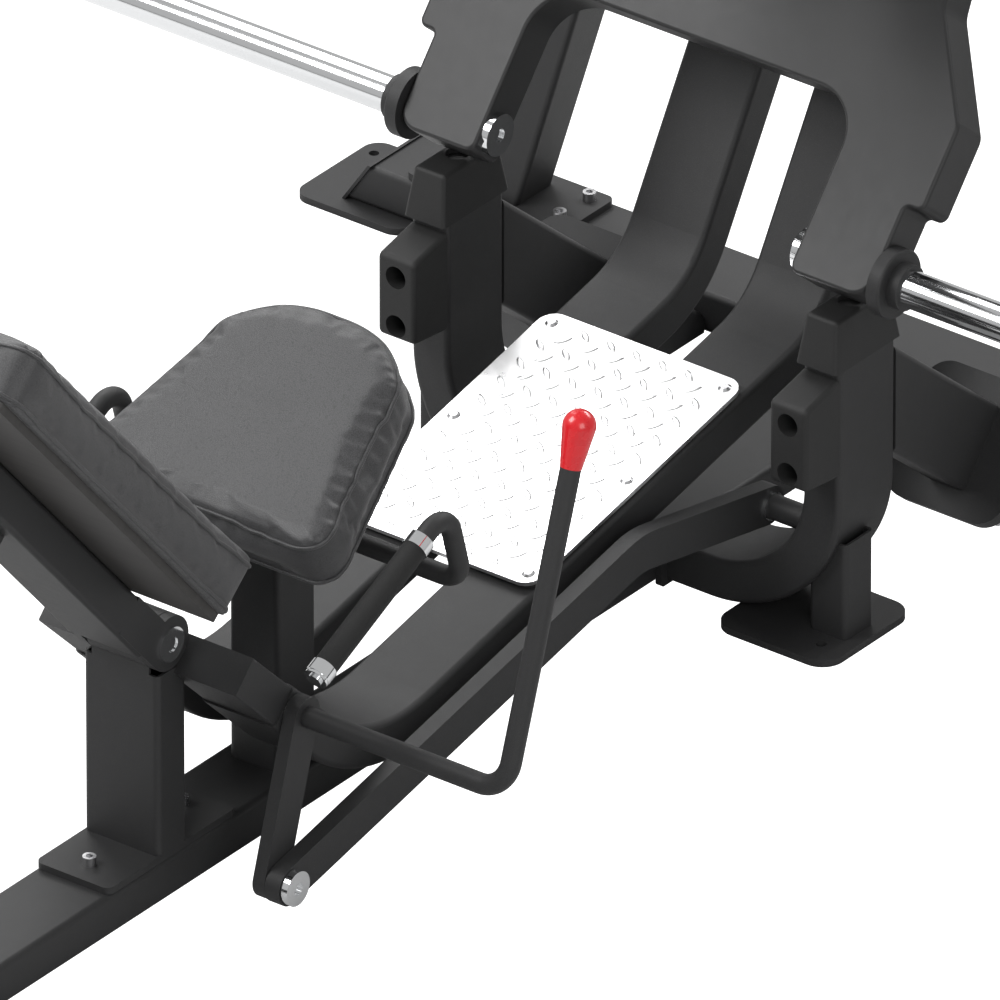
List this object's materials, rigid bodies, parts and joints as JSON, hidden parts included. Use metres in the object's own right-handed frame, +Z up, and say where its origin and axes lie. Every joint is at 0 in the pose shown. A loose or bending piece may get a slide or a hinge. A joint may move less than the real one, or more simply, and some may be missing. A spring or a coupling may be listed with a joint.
{
  "type": "leg press machine",
  "caption": "Plate-loaded leg press with a reclined seat and backrest, a tread plate, a swinging press arm with weight horns, and a hand release lever.",
  "frame": {"origin": "on the floor, in the middle of the machine's footprint", "axes": "+X to the seated user's right, +Y from the backrest towards the rear cross beam, +Z up"},
  "size_m": [1.888, 2.384, 1.3487],
  "materials": {
    "frame_coat": "textured matt",
    "cover_coat": "satin",
    "stop_rubber": "matt",
    "grip_rubber": "matt",
    "vinyl": "grained",
    "plywood": "painted",
    "chrome": "polished",
    "bright_tread": "bright",
    "zinc_steel": "plated",
    "nylon": "matt",
    "black_plastic": "matt",
    "red_plastic": "gloss"
  },
  "bodies": {
    "frame": {"adjuster_bracket": "frame_coat", "arm_stops": "stop_rubber", "backrest_hub": "frame_coat", "base_beam": "frame_coat", "beam_caps": "cover_coat", "bearing_blocks": "frame_coat", "floor_plates": "frame_coat", "foot_posts": "frame_coat", "frame_bolts": "zinc_steel", "front_post": "frame_coat", "front_stops": "stop_rubber", "grip_rings": "chrome", "grips": "grip_rubber", "handles": "frame_coat", "head_beam": "frame_coat", "lever_bush": "nylon", "press_shaft": "chrome", "rail_heads": "frame_coat", "rail_left": "frame_coat", "rail_right": "frame_coat", "rear_beam": "frame_coat", "rear_legs": "frame_coat", "rear_struts": "frame_coat", "seat_board": "plywood", "seat_pad": "vinyl", "seat_stem": "frame_coat", "tread_plate": "bright_tread", "tread_screws": "zinc_steel", "tread_spacers": "stop_rubber", "upright_braces": "frame_coat", "upright_left": "frame_coat", "upright_right": "frame_coat", "weld_plates": "frame_coat"},
    "press_arm": {"arm_cover": "cover_coat", "arm_legs": "frame_coat", "arm_cross_tube": "frame_coat", "press_hub": "frame_coat", "arm_spines": "frame_coat", "foot_plate": "bright_tread", "foot_bars": "frame_coat", "booms": "frame_coat", "weight_horns": "chrome", "horn_flanges": "frame_coat", "horn_caps": "chrome"},
    "backrest": {"backrest_shaft": "chrome", "backrest_frame": "frame_coat", "backrest_board": "plywood", "backrest_pad": "vinyl", "backrest_pin": "zinc_steel"},
    "adjuster_lower": {"adjuster_sleeve": "frame_coat", "adjuster_barrel": "frame_coat"},
    "adjuster_upper": {"adjuster_inner": "zinc_steel"},
    "pull_knob": {"adjuster_knob": "black_plastic"},
    "release_lever": {"lever_rod": "frame_coat", "lever_knob": "red_plastic", "lever_crank": "frame_coat", "crank_pin": "chrome"},
    "release_link": {"release_link": "frame_coat", "slide_pin": "frame_coat", "slide_ring": "chrome"}
  },
  "joints": [
    {"name": "press_swing", "type": "hinge", "parent": "frame", "child": "press_arm", "pos_m": [0, 0.99212, 1.0003], "axis": [-1, 0, 0], "range_deg": [0, 30]},
    {"name": "backrest_tilt", "type": "hinge", "parent": "frame", "child": "backrest", "pos_m": [0, -0.53688, 0.38269], "axis": [1, 0, 0], "range_deg": [-8, 12]},
    {"name": "adjuster_swing", "type": "hinge", "parent": "frame", "child": "adjuster_lower", "pos_m": [0, -1.092, 0.12], "axis": [1, 0, 0], "range_deg": [-1.7, 2.5]},
    {"name": "adjuster_slide", "type": "slide", "parent": "adjuster_lower", "child": "adjuster_upper", "axis": [0, 0.371, 0.9286], "range_m": [-0.0885, 0.0592]},
    {"name": "knob_pull", "type": "slide", "parent": "adjuster_lower", "child": "pull_knob", "axis": [1, 0, 0], "range_m": [0, 0.012], "stiffness_N_per_m": 400, "springref_m": -0.01},
    {"name": "lever_pull", "type": "hinge", "parent": "frame", "child": "release_lever", "pos_m": [0.162, -0.411, 0.261], "axis": [1, 0, 0], "range_deg": [0, 12]},
    {"name": "link_pivot", "type": "hinge", "parent": "release_lever", "child": "release_link", "pos_m": [0.195, -0.47561, 0.04966], "axis": [1, 0, 0], "range_deg": [-12.1, 0.1]}
  ],
  "couplings": [
    {"joint": "adjuster_swing", "follows": "backrest_tilt", "ratio": 0.2},
    {"joint": "adjuster_slide", "follows": "backrest_tilt", "m_per_rad": -0.42},
    {"joint": "link_pivot", "follows": "lever_pull", "ratio": -1}
  ]
}
